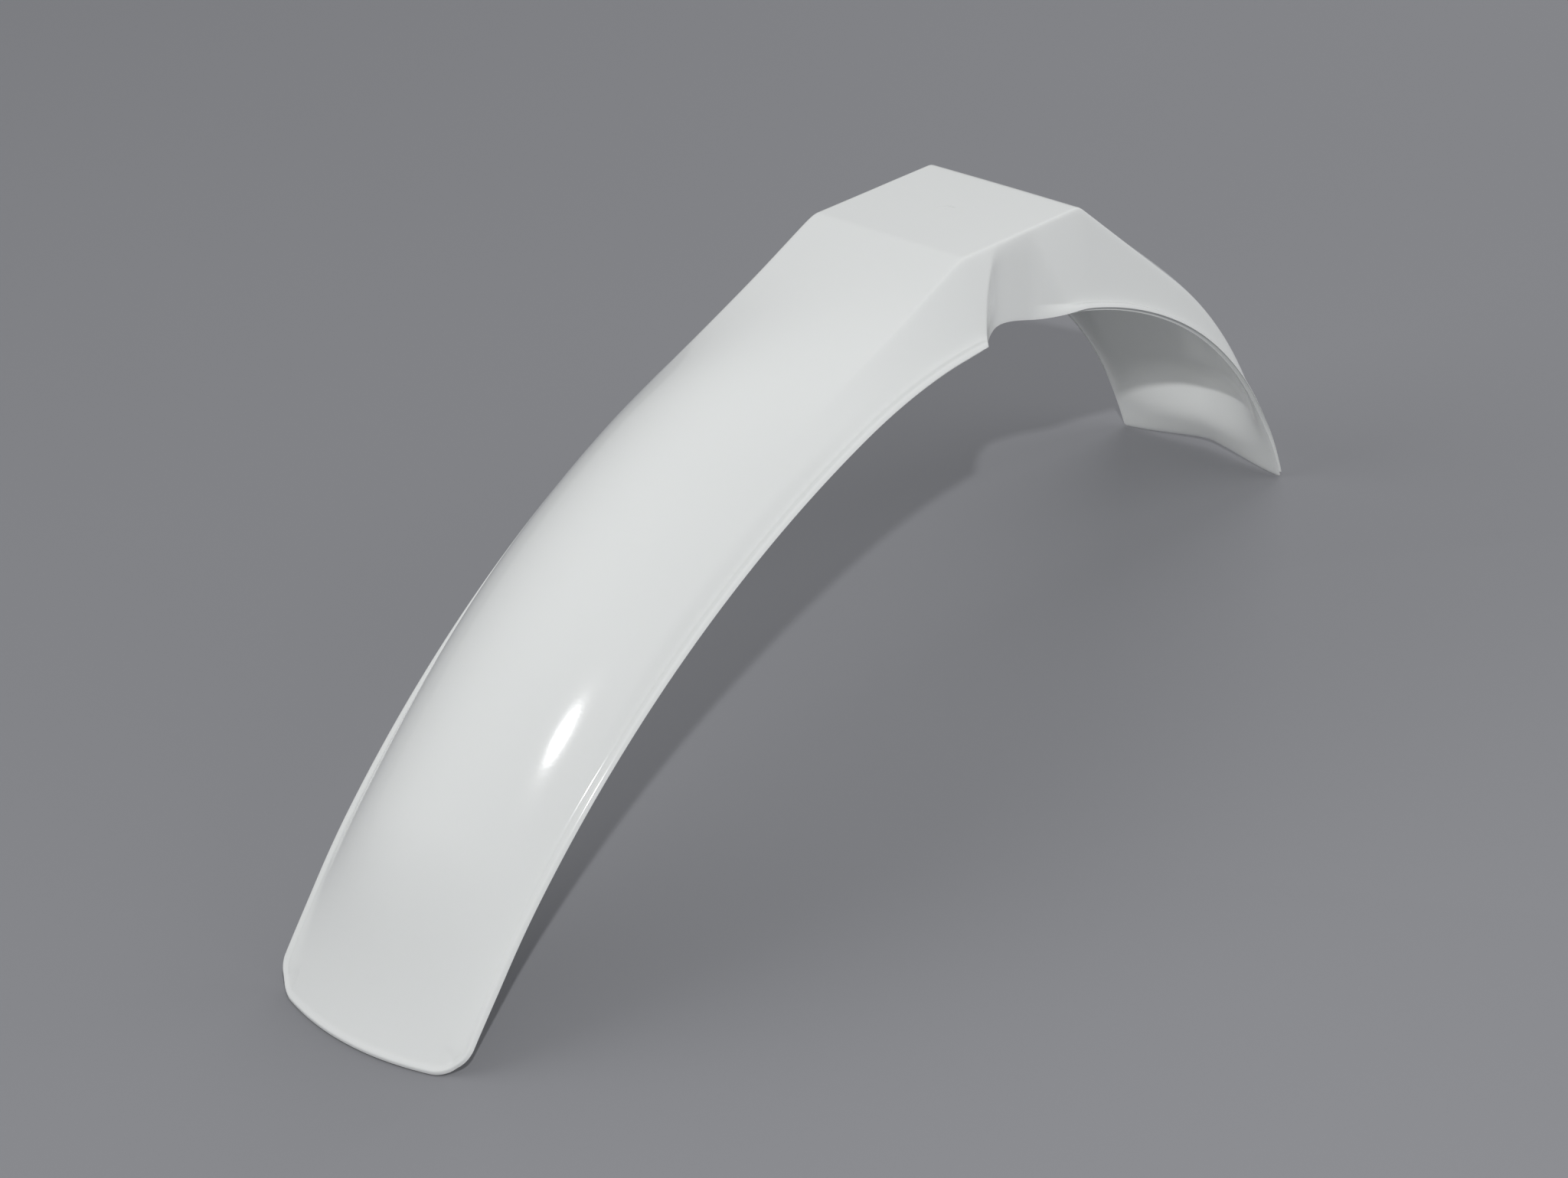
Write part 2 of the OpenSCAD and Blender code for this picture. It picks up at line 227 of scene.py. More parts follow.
@dataclass(frozen=True)
class ShellForm:
    """The outer face of the mudguard, in the frame of its flat mounting top.

    The origin lies in the plane of the flat top, between the fork legs. A value named half
    is a half breadth, one named soft or blend is the height or breadth over which two faces
    are rounded into each other, and one named fade is a length along the side line. The
    rails are those of the box's front shoulder, the arch's ridge, and the rear blade's
    crown and shoulder.
    """

    line: SideLine = field(default_factory=SideLine)
    recess: ForkRecess = field(default_factory=ForkRecess)
    top_front: float = 0.040
    top_rear: float = 0.053
    top_half: float = 0.0506
    shoulder_soft: float = 0.003
    front_edge: Rail = Rail(0.040, 22.3, 0.062, 0.480, 0.0014)
    arch: Rail = Rail(0.040, 7.15, 0.0, 0.536)
    rear_crown: Rail = Rail(0.053, 32.4, 0.0505, 0.434)
    rear_edge: Rail = Rail(0.053, 39.7, 0.105, 0.266)
    least_shoulder: float = 0.0002
    least_blend: float = 0.002
    crown_margin: float = 0.001
    arch_edge: float = 0.0044
    arch_wall: float = math.tan(math.radians(68.0))
    arch_soft: float = 0.003
    arch_growth: float = 0.150
    tip_crown: float = 0.0084
    tip_edge: float = 0.0007
    tip_fade: float = 0.110
    edge_fade: float = 0.150
    rear_power: float = 2.2
    fork_half: float = 0.0705
    waist_half: float = 0.0688
    tip_half: float = 0.0675
    rear_fork_half: float = 0.0653
    rear_half: float = 0.0566
    lip: float = 0.0052
    rear_lip: float = 0.0030
    lip_rise: float = 0.0016
    lip_turn: float = 0.0032
    lip_ledge: float = 0.62
    lip_soft: float = 0.35
    valley_soft: float = 0.0020
    lip_kick: float = math.radians(20.0)
    tip_corner: float = 0.017
    tip_bow: float = 0.0085
    tip_droop: float = 0.0022
    rear_bow: float = 0.0026
    rear_corner: float = 0.0025
    fork_blend: float = 0.043
    fan_out: float = 0.060
    kick_fade: float = 0.060
    bow_fade: float = 0.100
    rail_blend: float = 0.008
    recess_start: float = 0.0021
    flank_soft: float = 0.0015

    @property
    def s_recess(self) -> float:
        """Station of the front edge of the fork recess, at the shoulder."""
        start = np.float64(self.top_half + self.recess_start)
        return float(self.line.station(self.recess.arc_x(start)))

    @property
    def s_recess_end(self) -> float:
        """Station where the fork recess turns out again."""
        return float(self.line.station(np.float64(-self.recess.end)))

    @property
    def s_top_front(self) -> float:
        """Station of the front edge of the flat top."""
        return float(self.line.station(np.float64(self.top_front)))

    @property
    def s_top_rear(self) -> float:
        """Station of the rear edge of the flat top."""
        return float(self.line.station(np.float64(-self.top_rear)))

    def lean(self, s: Array) -> Array:
        """Lean of the section plane: upright between the fork legs, square to the line beyond."""
        front = ease(self.s_top_front, self.s_top_front + self.fan_out, s)
        rear = ease(-self.s_top_rear, self.fan_out - self.s_top_rear, -s)
        return self.line.angle(s) * np.where(s > 0, front, rear)

    def heights(self, s: Array) -> tuple[Array, Array]:
        """Heights of the box's crown and of its shoulder over the side line.

        Args:
            s: stations.

        Returns:
            The rails measured up the section plane. Ahead of the legs the box is flat and
            runs out into the arch. Behind them the shoulder is held under the crown, and it
            runs out at a least height over the side line.
        """
        x, z = self.line.point(s)
        a = self.lean(s)
        front = larger(self.front_edge.height(x, z, a), np.zeros_like(x), self.rail_blend)
        crown = self.rear_crown.height(-x, z, -a)
        least = np.full_like(x, self.least_shoulder)
        shoulder = larger(self.rear_edge.height(-x, z, -a), least, self.least_blend)
        shoulder = np.minimum(shoulder, crown)
        return np.where(x > 0, front, crown), np.where(x > 0, front, shoulder)

    def arch_height(self, s: Array, y: Array) -> Array:
        """Height of the front blade's arch over the side line.

        Args:
            s: stations.
            y: breadths in the section, from the middle outwards.

        Returns:
            A parabola across from the ridge, which follows its rail and then sinks to the
            front edge, cut off by a short steep wall.
        """
        x, z = self.line.point(s)
        fade = self.line.front_len - self.tip_fade
        rail = self.arch.height(x, z, self.lean(s))
        ridge = larger(rail, np.full_like(x, self.tip_crown), self.rail_blend)
        ridge = mix(ridge, self.tip_crown, ease(fade, self.line.front_len, s))
        side = mix(self.arch_edge, self.tip_edge, ease(fade - self.edge_fade, fade, s))
        foot = self.foot(s)
        bow = side + (ridge - side) * (1.0 - (y / foot) ** 2)
        return smaller(bow, (foot - y) * self.arch_wall, self.arch_soft)

    def half_width(self, s: Array) -> Array:
        """Half breadth over the lip.

        Args:
            s: stations.

        Returns:
            Ahead of the legs a parabola through fork, waist and tip, behind them a straight
            taper, with one eased into the other beside the legs.
        """
        start = float(self.line.station(self.recess.arc_x(np.float64(self.fork_half))))
        u = np.maximum((s - start) / (self.line.front_len - start), 0.0)
        v = np.maximum((self.s_recess - s) / (self.s_recess + self.line.rear_len), 0.0)
        front = (
            self.fork_half * (1 - u) * (1 - 2 * u)
            + 4 * u * (1 - u) * self.waist_half
            + self.tip_half * u * (2 * u - 1)
        )
        rear = mix(self.rear_fork_half, self.rear_half, v)
        return mix(rear, front, ease(-self.fork_blend, 0.0, s - self.s_recess))

    def lip_breadth(self, s: Array) -> Array:
        """Breadth of the lip, which narrows behind the recess."""
        return mix(self.rear_lip, self.lip, ease(-self.line.rear_len, self.s_recess_end, s))

    def foot(self, s: Array) -> Array:
        """Half breadth of the shell at the foot of its walls."""
        return self.half_width(s) - self.lip_breadth(s)

    def half_crown(self, s: Array) -> Array:
        """Half breadth of the crown, from the middle to the shoulder, kept inside the foot."""
        v = np.clip((self.s_top_rear - s) / (self.s_top_rear + self.line.rear_len), 0.0, 1.0)
        taper = mix(self.top_half, self.rear_half - self.rear_lip - self.crown_margin, v)
        return np.minimum(taper, self.foot(s) - self.crown_margin)

    def turn_depth(self, s: Array) -> Array:
        """Depth to which the lip's outer face turns down, which fades at the rear edge."""
        fade = ease(0.0, self.kick_fade, s + self.line.rear_len)
        return self.lip_turn * self.lip_breadth(s) / self.lip * fade

    def height(self, s: Array, y: Array) -> Array:
        """Height of the outer face over the side line.

        Args:
            s: stations.
            y: breadths in the section, from the middle outwards.

        Returns:
            The crown, a power curve across, meets the straight wall in a rounded shoulder.
            Ahead of the top the arch grows out of this box, and the lip is a raised ledge.
        """
        h, edge = self.heights(s)
        b = self.half_crown(s)
        foot = self.foot(s)
        crown = h - (h - edge) * (y / b) ** self.rear_power
        box = smaller(crown, edge * (foot - y) / (foot - b), self.shoulder_soft)
        grown = ease(0.0, self.arch_growth, s - self.s_top_front)
        arched = mix(box, self.arch_height(s, y), grown)
        return larger(arched, np.full_like(y, self.lip_rise), self.valley_soft)

    def swing(self, s: Array, y: Array) -> Array:
        """How far a row swings forwards at breadth y, so that one row follows the recess's edge.

        Args:
            s: row stations.
            y: breadths in the section, from the middle outwards.

        Returns:
            The arc's station at that breadth less its station at the shoulder, weighted by
            a share that is whole at the recess and eased out ahead of it and behind it.
        """
        ahead = 1.0 - ease(0.0, self.fan_out, s - self.s_recess)
        behind = ease(self.s_recess_end, self.s_recess, s)
        weight = np.where(s > self.s_recess, ahead, behind)
        start = self.top_half + self.recess_start
        arc = self.line.station(self.recess.arc_x(np.clip(y, start, self.fork_half)))
        return weight * (arc - self.s_recess)

    @staticmethod
    def rounded(end: Array, side: Array, r: Array) -> tuple[Array, Array]:
        """Rounds the corners of the plan.

        Args:
            end: distances in from the end of the shell.
            side: distances in from its side.
            r: corner radius.

        Returns:
            The same two distances, where points within r of both edges are drawn in onto
            quarter circles round one centre, and a square ring becomes a round one.
        """
        d = np.minimum(end, side)
        spread_end = np.maximum(r - end, 1e-9)
        spread_side = np.maximum(r - side, 1e-9)
        turn = np.where(
            side >= end,
            0.25 * np.pi * (1.0 - (side - end) / spread_end),
            np.pi / 2 - 0.25 * np.pi * (1.0 - (end - side) / spread_side),
        )
        inside = (end < r) & (side < r)
        new_end = np.where(inside, r - (r - d) * np.cos(turn), end)
        new_side = np.where(inside, r - (r - d) * np.sin(turn), side)
        return new_end, new_side

    def surface(self, s0: Array, y0: Array, side: Array) -> Array:
        """Points of the outer face.

        Args:
            s0: row stations, as a grid.
            y0: breadths from the middle outwards, as a grid.
            side: 1 on the left half, -1 on the right half and 0 in the middle.

        Returns:
            A grid of points. Each point is the side line's point at its station, raised by
            the height up the leaning section plane, after these steps. The corners of the
            plan are rounded, and both ends are bowed by the square of the breadth's share.
            The front corners droop in the same way. The lip kicks up at both ends, and its
            outer face turns down past the ledge. The recess holds the wall in, and beside
            it the lip is folded down into the skirt.
        """
        line, room = self.line, self.recess
        s = s0 + self.swing(s0, y0)
        w = self.half_width(s)
        front = s > 0
        end = np.where(front, line.front_len - s, s + line.rear_len)
        radius = np.where(front, self.tip_corner, self.rear_corner)
        new_end, new_side = self.rounded(end, w - y0, radius)
        outer = (y0 / w) ** 2 * (1.0 - ease(0.0, self.bow_fade, end))
        bow = np.where(front, self.tip_bow, self.rear_bow) * outer
        s1 = np.where(front, line.front_len - new_end, new_end - line.rear_len) - bow
        y1 = w - new_side
        lip_b = self.lip_breadth(s)
        rim = np.maximum(lip_b - np.minimum(end, w - y0), 0.0)
        kick = math.tan(self.lip_kick) * rim * (1.0 - ease(0.0, self.kick_fade, end))
        x, z = line.point(s1)
        a = self.lean(s1)

        reach = float(room.arc_x(np.float64(self.fork_half)))
        held = room.breadth(x, self.top_half, self.fork_half + self.lip)
        inside = (x < reach) & (x > -self.top_rear)
        foot = w - lip_b
        lip = np.maximum(y1 - foot, 0.0) / lip_b
        opened = ease(room.open_start - room.end, room.open_end - room.end, x)
        fold = np.where(inside, ease(reach, reach - room.fold_in, x) * (1.0 - opened), 0.0)
        edge = np.where(front, np.minimum(end, w - y0), w - y0)
        down = ((lip_b - edge) / lip_b - self.lip_ledge) / (1.0 - self.lip_ledge)
        down = larger(down, np.zeros_like(down), self.lip_soft)
        body = np.minimum(y1, foot)
        soft = smaller(body, held, self.flank_soft)
        base = np.where(inside, np.where(x > 0, np.minimum(body, held), soft), body)
        spread = base + (w - base) * lip * np.where(inside, opened, 1.0)
        y2 = np.where(lip > 0, np.where(inside & (x > 0), np.minimum(y1, held), spread), base)
        h = self.height(s, y0) + kick - self.tip_droop * outer * front
        h = h - room.skirt * lip * fold - self.turn_depth(s) * down * (1.0 - fold)
        return np.stack([x + h * np.sin(a), side * y2, z + h * np.cos(a)], axis=-1)


@dataclass(frozen=True)
class RestPose:
    """Where the mounting top's frame lies in the part's frame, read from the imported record."""

    tilt: float
    shift: tuple[float, float, float]

    @classmethod
    def from_record(cls, form: ShellForm) -> "RestPose":
        """Works the pose out from the flat top's mount.

        Args:
            form: the shell's form, whose flat top is centred on the mount.

        Returns:
            The turn about Y that leans the top's normal as the mount's axis leans, and the
            shift that brings the top's middle to the mount's place.
        """
        mount = next(m for m in frame["record"]["mounts"] if m["name"] == "top_face")
        tilt = math.atan2(mount["axis"][0], mount["axis"][2])
        middle = (form.top_front - form.top_rear) / 2
        x, y, z = mount["pos_m"]
        return cls(tilt, (x - middle * math.cos(tilt), y, z + middle * math.sin(tilt)))

    def matrix(self) -> Array:
        """The turn as a 3 by 3 matrix."""
        c, s = math.cos(self.tilt), math.sin(self.tilt)
        return np.array([[c, 0.0, s], [0.0, 1.0, 0.0], [-s, 0.0, c]])

    def place(self, points: Array) -> Array:
        """Points of the top's frame, turned and shifted into the part's frame."""
        return points @ self.matrix().T + np.array(self.shift)


@dataclass(frozen=True)
class ShellMesh:
    """The fine mesh of the shell: an outer net, an inner net and a rounded rim between them.

    The fields named soften count how often the outer net and its normals are averaged. A
    power under 1 crowds columns towards the shoulder or squares the rim's round a little,
    and one over 1 crowds columns towards the foot. The mark is the gate's crescent.
    """

    form: ShellForm
    pose: RestPose
    wall: float = 0.0025
    tip_draw: float = 0.6
    rim_steps: int = 7
    rim_power: float = 0.8
    crown_cells: int = 22
    crown_power: float = 0.9
    wall_cells: int = 18
    wall_power: float = 1.6
    lip_cells: int = 10
    soften: int = 2
    turn_soften: int = 18
    mark_r: float = 0.0055
    mark_turn: float = math.radians(219.0)
    mark_sweep: float = math.radians(62.0)
    mark_half: float = 0.0004
    mark_rise: float = 0.00025
    mark_end: float = 0.002
    mark_rings: int = 41
    mark_sides: int = 12

    def rows(self) -> Array:
        """Row stations, from the rear edge to the front tip.

        Returns:
            Even steps between the stations where the form changes, as many as stand beside
            the stretch's first station. They are finest at the recess and the two ends. The
            rear end is drawn in by half a wall for the rim, and the tip by a little less.
        """
        f, half = self.form, self.wall / 2
        marks = [
            (-f.line.rear_len + half, 4),
            (f.rear_corner - f.line.rear_len, 78),
            (f.s_top_rear - f.fan_out, 30),
            (f.s_top_rear, 20),
            (f.s_recess_end, 50),
            (f.s_recess, 26),
            (f.s_top_front, 30),
            (f.s_top_front + f.fan_out, 138),
            (f.line.front_len - f.tip_corner, 20),
            (f.line.front_len - f.lip, 10),
            (f.line.front_len - self.tip_draw * half, 0),
        ]
        parts = [
            np.linspace(start, end, steps, endpoint=False)
            for (start, steps), (end, _) in zip(marks, marks[1:])
        ]
        return np.concatenate(parts + [np.array([marks[-1][0]])])

    def columns(self, s: Array) -> tuple[Array, Array]:
        """Breadths of every column in every row, and the side each lies on.

        Args:
            s: row stations.

        Returns:
            Even shares of the crown that crowd towards the shoulder, then of the wall, which
            crowd towards its foot, and of the lip, mirrored. The lip is drawn in, down the
            slope of its outer face, by half a wall for the rim.
        """
        crown = np.sin(np.linspace(0.0, np.pi / 2, self.crown_cells + 1)) ** self.crown_power
        even = np.linspace(0.0, 1.0, self.wall_cells + 1)[1:]
        wall = 1.0 - (1.0 - even) ** self.wall_power
        lip = self.form.lip_breadth(s)[:, None]
        run = (1.0 - self.form.lip_ledge) * lip
        slant = run / np.hypot(run, self.form.turn_depth(s)[:, None])
        share = np.linspace(0.0, 1.0, self.lip_cells + 1)[1:] * (lip - 0.5 * self.wall * slant)
        b = self.form.half_crown(s)[:, None]
        foot = self.form.foot(s)[:, None]
        half = np.concatenate([b * crown, mix(b, foot, wall), foot + share], axis=1)
        breadth = np.concatenate([half[:, :0:-1], half], axis=1)
        side = np.sign(np.arange(breadth.shape[1]) - half.shape[1] + 1)
        return breadth, np.broadcast_to(side, breadth.shape)

    @staticmethod
    def eased(grid: Array, rounds: int, held: bool) -> Array:
        """Averages a grid with its neighbours, a quarter, a half and a quarter, both ways.

        Args:
            grid: a grid of points or of normals.
            rounds: how often it is averaged.
            held: whether the border keeps its place.

        Returns:
            The averaged grid. Past a held border the grid is carried on by its mirror image
            through the border, and past a free one by the border itself.
        """
        border = {"mode": "reflect", "reflect_type": "odd"} if held else {"mode": "edge"}
        out = grid
        for _ in range(rounds):
            for axis in (0, 1):
                pad = [(1, 1) if k == axis else (0, 0) for k in range(3)]
                wide = np.moveaxis(np.pad(out, pad, **border), axis, 0)
                out = np.moveaxis(0.25 * wide[:-2] + 0.5 * wide[1:-1] + 0.25 * wide[2:], 0, axis)
        return out

    @staticmethod
    def normals(grid: Array) -> Array:
        """Outward unit normals: the cross products of the diagonals of the cells round a point, summed."""
        cells = np.cross(grid[1:, 1:] - grid[:-1, :-1], grid[:-1, 1:] - grid[1:, :-1])
        wide = np.pad(cells, [(1, 1), (1, 1), (0, 0)], mode="edge")
        n = wide[:-1, :-1] + wide[1:, :-1] + wide[:-1, 1:] + wide[1:, 1:]
        return n / np.linalg.norm(n, axis=-1, keepdims=True)

    @staticmethod
    def border(grid: Array) -> Array:
        """The border of a grid as one loop: rear row, left column, front row, right column."""
        return np.concatenate([grid[0, :-1], grid[:-1, -1], grid[-1, :0:-1], grid[:0:-1, 0]])

    def nets(self) -> tuple[Array, Array, Array]:
        """The outer net, the inner net and the rim's rings.

        Returns:
            The inner net lies one wall under the outer one, along normals that are averaged
            over a few millimetres. Each ring of the rim is the middle of the wall, plus half
            a wall times the cosine along the normal and a power of the sine outwards.
        """
        s = self.rows()
        breadth, side = self.columns(s)
        outer = self.form.surface(np.broadcast_to(s[:, None], breadth.shape), breadth, side)
        outer = self.eased(outer, self.soften, held=True)
        lean = self.eased(self.normals(outer), self.turn_soften, held=False)
        lean /= np.linalg.norm(lean, axis=-1, keepdims=True)
        inner = outer - self.wall * lean
        edge, up = self.border(outer), self.border(lean)
        along = np.roll(edge, -1, axis=0) - np.roll(edge, 1, axis=0)
        out = np.cross(along, up)
        out /= np.linalg.norm(out, axis=-1, keepdims=True)
        angle = np.linspace(0.0, np.pi, self.rim_steps + 2)[1:-1, None, None]
        middle = edge - 0.5 * self.wall * up
        bulge = np.sin(angle) ** self.rim_power
        rings = middle + 0.5 * self.wall * (np.cos(angle) * up + bulge * out)
        return outer, inner, rings

    def gate_mark(self) -> tuple[Array, Array]:
        """The faint crescent that the mould's gate left on the flat top.

        Returns:
            Points and faces of a low bead, half sunk in the top. Its middle runs along an
            arc round the middle of the top. Its section is an ellipse that shrinks towards
            both ends as the root of one less the squared share, down to a very small one.
        """
        share = np.linspace(-1.0, 1.0, self.mark_rings)[:, None]
        turn = self.mark_turn + share * self.mark_sweep
        size = np.sqrt(np.maximum(1.0 - share**2, self.mark_end))
        around = np.linspace(0.0, 2.0 * np.pi, self.mark_sides, endpoint=False)[None]
        reach = self.mark_r + self.mark_half * size * np.cos(around)
        middle = (self.form.top_front - self.form.top_rear) / 2
        rise = self.mark_rise * size * np.sin(around)
        points = np.stack([middle + reach * np.cos(turn), reach * np.sin(turn), rise], axis=-1)
        index = np.arange(points[..., 0].size).reshape(points.shape[:2])
        ahead = np.roll(index, -1, axis=1)
        faces = np.stack([index[:-1], index[1:], ahead[1:], ahead[:-1]], axis=-1)
        return points.reshape(-1, 3), faces.reshape(-1, 4)

    def build(self) -> bpy.types.Object:
        """Makes the mesh and its object.

        Returns:
            One mesh of four-sided faces, smooth, in the part's frame: the closed shell, and
            the gate's mark sunk in its top.
        """
        outer, inner, rings = self.nets()
        rows, cols = outer.shape[:2]
        count = rows * cols
        points = np.concatenate([outer.reshape(-1, 3), inner.reshape(-1, 3), rings.reshape(-1, 3)])
        index = np.arange(count).reshape(rows, cols)
        quads = np.stack([index[:-1, :-1], index[1:, :-1], index[1:, 1:], index[:-1, 1:]], axis=-1)
        skin = quads.reshape(-1, 4)
        loop = self.border(index)
        ring_index = 2 * count + np.arange(rings.shape[0] * loop.size).reshape(rings.shape[0], -1)
        belts = np.concatenate([loop[None], ring_index, loop[None] + count])
        ahead = np.roll(belts, -1, axis=1)
        rim = np.stack([belts[:-1], belts[1:], ahead[1:], ahead[:-1]], axis=-1).reshape(-1, 4)
        mark, mark_faces = self.gate_mark()
        faces = np.concatenate([skin, skin[:, ::-1] + count, rim, mark_faces + len(points)])
        points = np.concatenate([points, mark])
        mesh = bpy.data.meshes.new("moulded_shell")
        mesh.from_pydata(self.pose.place(points).tolist(), [], faces.tolist())
        mesh.polygons.foreach_set("use_smooth", np.ones(len(faces), dtype=bool))
        mesh.update()
        mesh.validate()
        shell = bpy.data.objects.new("moulded_shell", mesh)
        bpy.context.scene.collection.objects.link(shell)
        LOG.info("moulded_shell: %d by %d net, %d faces", rows, cols, len(faces))
        return shell


@dataclass(frozen=True)
class Finish:
    """A procedural finish: a colour with faint flow clouds, a gloss with faint scuffs."""

    name: str
    colour: tuple[float, float, float]
    cloud: float
    cloud_size: float
    roughness: float
    scuff: float
    bump: float
    grain_size: float
    cloud_detail: float = 2.0
    scuff_detail: float = 6.0
    scuffs_per_cloud: float = 4.0
    grain_detail: float = 3.0
    grain_depth: float = 0.0005
    subsurface: float = 0.0
    subsurface_depth: tuple[float, float, float] = (0.004, 0.004, 0.0035)
    specular: float = 0.5
    refraction: float = 1.49

    def build(self) -> bpy.types.Material:
        """Makes the material.

        Returns:
            A Principled shader on Object coordinates. A large noise mixes the colour with a
            slightly darker one, a finer noise varies the roughness, and the finest one is
            the bump.
        """
        material = bpy.data.materials.new(self.name)
        material.use_nodes = True
        nodes, links = material.node_tree.nodes, material.node_tree.links
        shader = nodes["Principled BSDF"]
        place = nodes.new("ShaderNodeTexCoord")

        cloud = nodes.new("ShaderNodeTexNoise")
        cloud.inputs["Scale"].default_value = 1.0 / self.cloud_size
        cloud.inputs["Detail"].default_value = self.cloud_detail
        blend = nodes.new("ShaderNodeMix")
        blend.data_type = "RGBA"
        blend.inputs["A"].default_value = (*self.colour, 1.0)
        blend.inputs["B"].default_value = (*(c * (1.0 - self.cloud) for c in self.colour), 1.0)
        links.new(place.outputs["Object"], cloud.inputs["Vector"])
        links.new(cloud.outputs["Fac"], blend.inputs["Factor"])
        links.new(blend.outputs["Result"], shader.inputs["Base Color"])

        scuff = nodes.new("ShaderNodeTexNoise")
        scuff.inputs["Scale"].default_value = self.scuffs_per_cloud / self.cloud_size
        scuff.inputs["Detail"].default_value = self.scuff_detail
        span = nodes.new("ShaderNodeMapRange")
        span.inputs["To Min"].default_value = self.roughness - self.scuff
        span.inputs["To Max"].default_value = self.roughness + self.scuff
        links.new(place.outputs["Object"], scuff.inputs["Vector"])
        links.new(scuff.outputs["Fac"], span.inputs["Value"])
        links.new(span.outputs["Result"], shader.inputs["Roughness"])

        grain = nodes.new("ShaderNodeTexNoise")
        grain.inputs["Scale"].default_value = 1.0 / self.grain_size
        grain.inputs["Detail"].default_value = self.grain_detail
        bump = nodes.new("ShaderNodeBump")
        bump.inputs["Strength"].default_value = self.bump
        bump.inputs["Distance"].default_value = self.grain_depth
        links.new(place.outputs["Object"], grain.inputs["Vector"])
        links.new(grain.outputs["Fac"], bump.inputs["Height"])
        links.new(bump.outputs["Normal"], shader.inputs["Normal"])

        shader.inputs["Subsurface Weight"].default_value = self.subsurface
        shader.inputs["Subsurface Radius"].default_value = self.subsurface_depth
        shader.inputs["Subsurface Scale"].default_value = 1.0
        shader.inputs["Specular IOR Level"].default_value = self.specular
        shader.inputs["IOR"].default_value = self.refraction
        return material


WHITE_PLASTIC = Finish(
    name="glossy_white_polypropylene",
    colour=(0.737, 0.75, 0.741),
    cloud=0.03,
    cloud_size=0.12,
    roughness=0.11,
    scuff=0.015,
    bump=0.02,
    grain_size=0.002,
    subsurface=0.12,
    specular=0.25,
)

PALE_BOARD = Finish(
    name="pale_board",
    colour=(0.243, 0.246, 0.261),
    cloud=0.03,
    cloud_size=0.6,
    roughness=0.8,
    scuff=0.05,
    bump=0.05,
    grain_size=0.004,
)


class LampKind(Enum):
    """The lamps of the studio: one small and hard, three large and soft."""

    KEY = "key"
    FRONT = "front"
    SIDE = "side"
    BACK = "back"


@dataclass(frozen=True)
class Lamp:
    """A rectangular white lamp that points at the middle of the mudguard."""

    kind: LampKind
    place: tuple[float, float, float]
    size: tuple[float, float]
    watts: float
    target: tuple[float, float, float] = (0.0, 0.0, 0.1)

    def build(self) -> bpy.types.Object:
        """Makes the lamp's object, turned from its place to its target.

        Returns:
            The lamp. The gloss shows only the key, as a small bright spot. The large lamps
            would show there as sheets of light with hard edges.
        """
        data = bpy.data.lights.new(f"{self.kind.value}_lamp", "AREA")
        data.shape = "RECTANGLE"
        data.size, data.size_y = self.size
        data.energy = self.watts
        lamp = bpy.data.objects.new(data.name, data)
        lamp.location = self.place
        lamp.visible_glossy = self.kind is LampKind.KEY
        aim = Vector(self.target) - Vector(self.place)
        lamp.rotation_euler = aim.to_track_quat("-Z", "Y").to_euler()
        bpy.context.scene.collection.objects.link(lamp)
        LOG.info("%s: %.0f W", lamp.name, self.watts)
        return lamp


@dataclass(frozen=True)
class PhotoCamera:
    """The photograph's view, solved in the frame of the flat mounting top.

    The view direction is given by an azimuth, an elevation and a roll, and the place by the
    distance along it and two offsets across it. The lens and the sensor's width are in
    millimetres.
    """

    azimuth: float = math.radians(133.59)
    elevation: float = math.radians(26.55)
    roll: float = math.radians(-1.76)
    distance: float = 2.0919
    right: float = -0.0792
    up: float = -0.1930
    lens: float = 93.45
    sensor: float = 36.0
    farthest: float = 50.0

    def build(self, pose: RestPose) -> bpy.types.Object:
        """Makes the camera.

        Args:
            pose: where the mounting top's frame lies.

        Returns:
            The camera's object. Its back axis is the direction of azimuth and elevation,
            its right and up axes are turned about that by the roll, and its place is the
            sum of the three offsets along them, all taken into the part's frame.
        """
        a, e, r = self.azimuth, self.elevation, self.roll
        back = np.array([math.sin(a) * math.cos(e), -math.cos(a) * math.cos(e), math.sin(e)])
        flat = np.array([math.cos(a), math.sin(a), 0.0])
        rise = np.cross(back, flat)
        right = math.cos(r) * flat + math.sin(r) * rise
        up = math.cos(r) * rise - math.sin(r) * flat
        place = self.right * right + self.up * up + self.distance * back
        turn = pose.matrix() @ np.stack([right, up, back], axis=1)
        data = bpy.data.cameras.new("photo_camera")
        data.lens = self.lens
        data.sensor_width = self.sensor
        data.clip_end = self.farthest
        camera = bpy.data.objects.new("photo_camera", data)
        matrix = Matrix(turn.tolist()).to_4x4()
        matrix.translation = Vector(pose.place(place).tolist())
        camera.matrix_world = matrix
        bpy.context.scene.collection.objects.link(camera)
        bpy.context.scene.camera = camera
        LOG.info("photo_camera: lens %.1f mm", self.lens)
        return camera


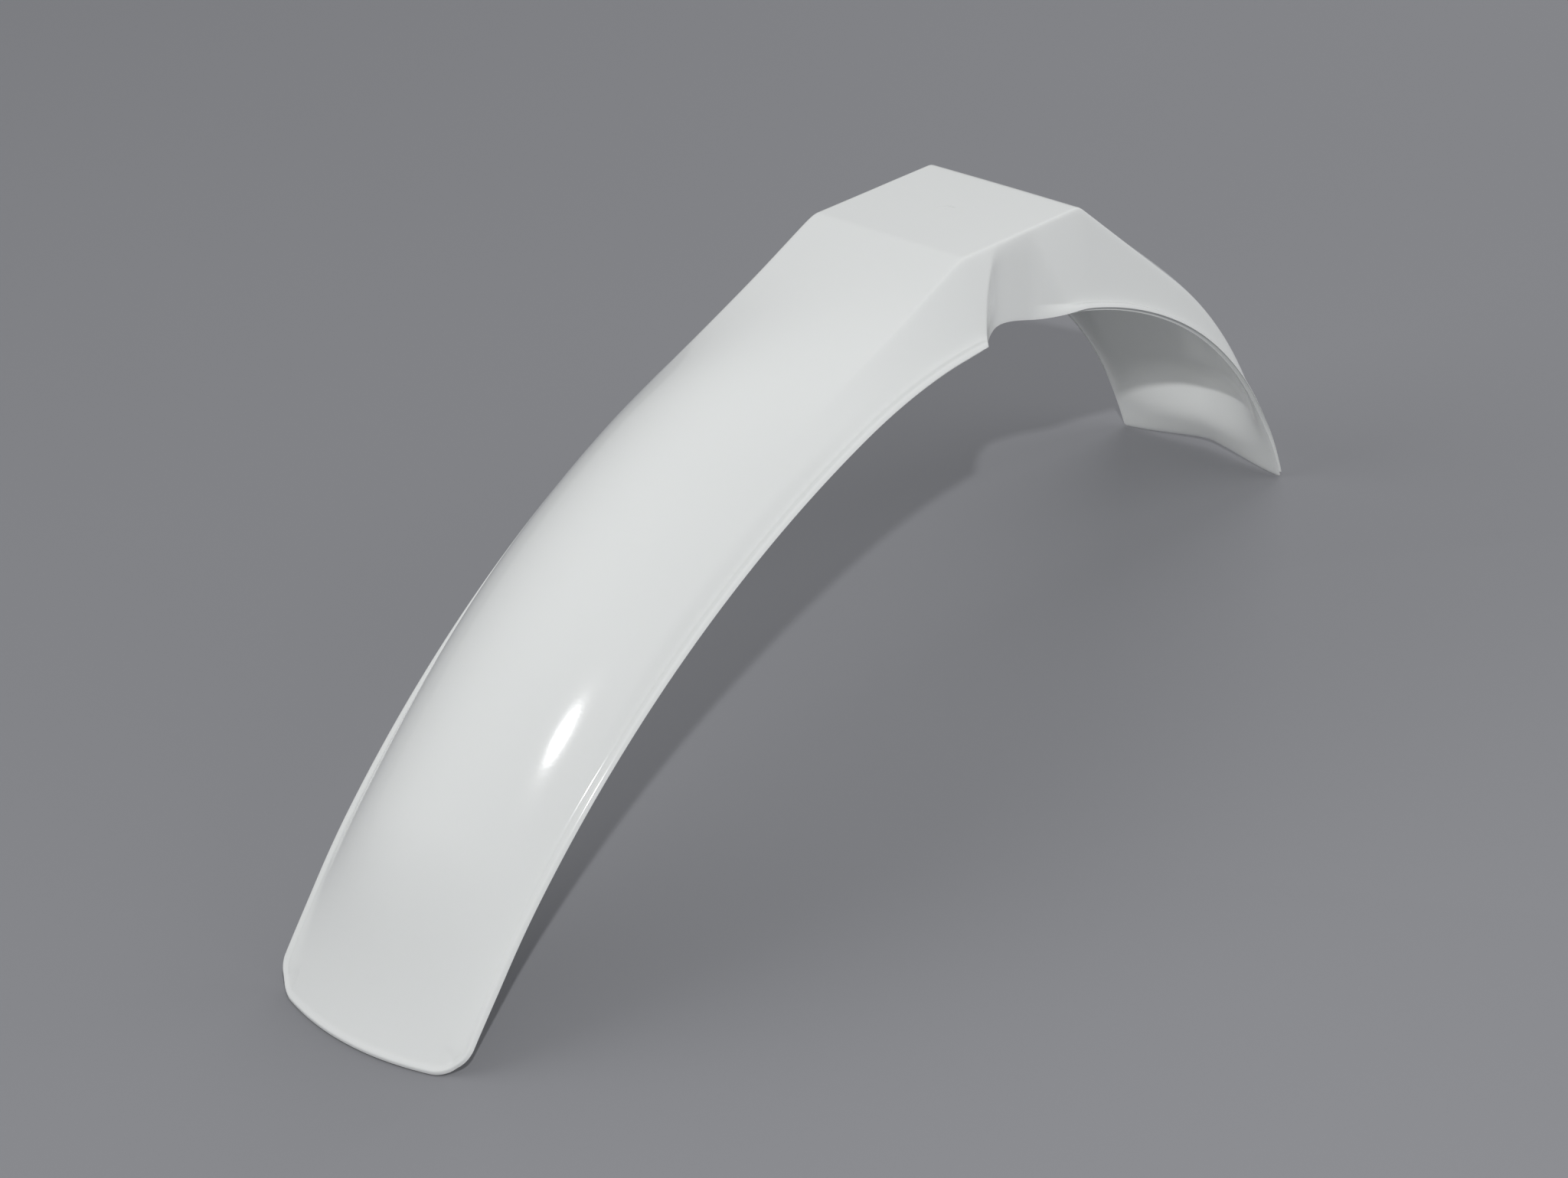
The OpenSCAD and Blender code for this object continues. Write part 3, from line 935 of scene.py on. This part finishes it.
@dataclass(frozen=True)
class Studio:
    """The floor, the pale surroundings and the lamps."""

    floor_size: float = 12.0
    floor_finish: Finish = PALE_BOARD
    sky_colour: tuple[float, float, float] = (0.80, 0.81, 0.83)
    sky_strength: float = 0.40
    lamps: tuple[Lamp, ...] = (
        Lamp(LampKind.KEY, (0.992, 1.177, 1.572), (0.045, 0.045), 18.5),
        Lamp(LampKind.FRONT, (1.7, -1.7, 1.3), (2.4, 2.0), 26.0),
        Lamp(LampKind.SIDE, (-1.4, 2.1, 1.4), (2.4, 2.0), 22.0),
        Lamp(LampKind.BACK, (-2.4, -0.6, 1.4), (2.4, 2.0), 25.0),
    )

    def build_floor(self) -> bpy.types.Object:
        """Makes the floor.

        Returns:
            One wide plane of matt grey board, at the height that the part rests on.
        """
        half = self.floor_size / 2
        mesh = bpy.data.meshes.new("floor")
        corners = [(-half, -half, 0.0), (half, -half, 0.0), (half, half, 0.0), (-half, half, 0.0)]
        mesh.from_pydata(corners, [], [(0, 1, 2, 3)])
        floor = bpy.data.objects.new("floor", mesh)
        bpy.context.scene.collection.objects.link(floor)
        mesh.materials.append(self.floor_finish.build())
        return floor

    def build_sky(self) -> None:
        """Sets the even surroundings that fill the shadows."""
        world = bpy.data.worlds.new("studio")
        world.use_nodes = True
        back = world.node_tree.nodes["Background"]
        back.inputs["Color"].default_value = (*self.sky_colour, 1.0)
        back.inputs["Strength"].default_value = self.sky_strength
        bpy.context.scene.world = world

    def build(self) -> None:
        """Makes the floor, the surroundings and every lamp."""
        self.build_floor()
        self.build_sky()
        for lamp in self.lamps:
            lamp.build()
        bpy.context.scene.view_settings.view_transform = "Standard"


@dataclass(frozen=True)
class Mudguard:
    """The whole mudguard: its form, its place and its finish."""

    form: ShellForm = field(default_factory=ShellForm)
    finish: Finish = WHITE_PLASTIC

    def build(self, pose: RestPose) -> bpy.types.Object:
        """Makes the shell, dresses it and sets it in the frame.

        Args:
            pose: where the mounting top's frame lies.

        Returns:
            The shell's object, riding on the part's one body in place of its solid.
        """
        shell = ShellMesh(self.form, pose).build()
        shell.data.materials.append(self.finish.build())
        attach(shell, BODY)
        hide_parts(NODE)
        return shell


def main() -> None:
    """Builds the mudguard, the studio and the camera, and reports each piece."""
    logging.basicConfig(level=logging.INFO, format="%(name)s: %(message)s")
    mudguard = Mudguard()
    pose = RestPose.from_record(mudguard.form)
    mudguard.build(pose)
    Studio().build()
    PhotoCamera().build(pose)


if __name__ == "__main__":
    main()
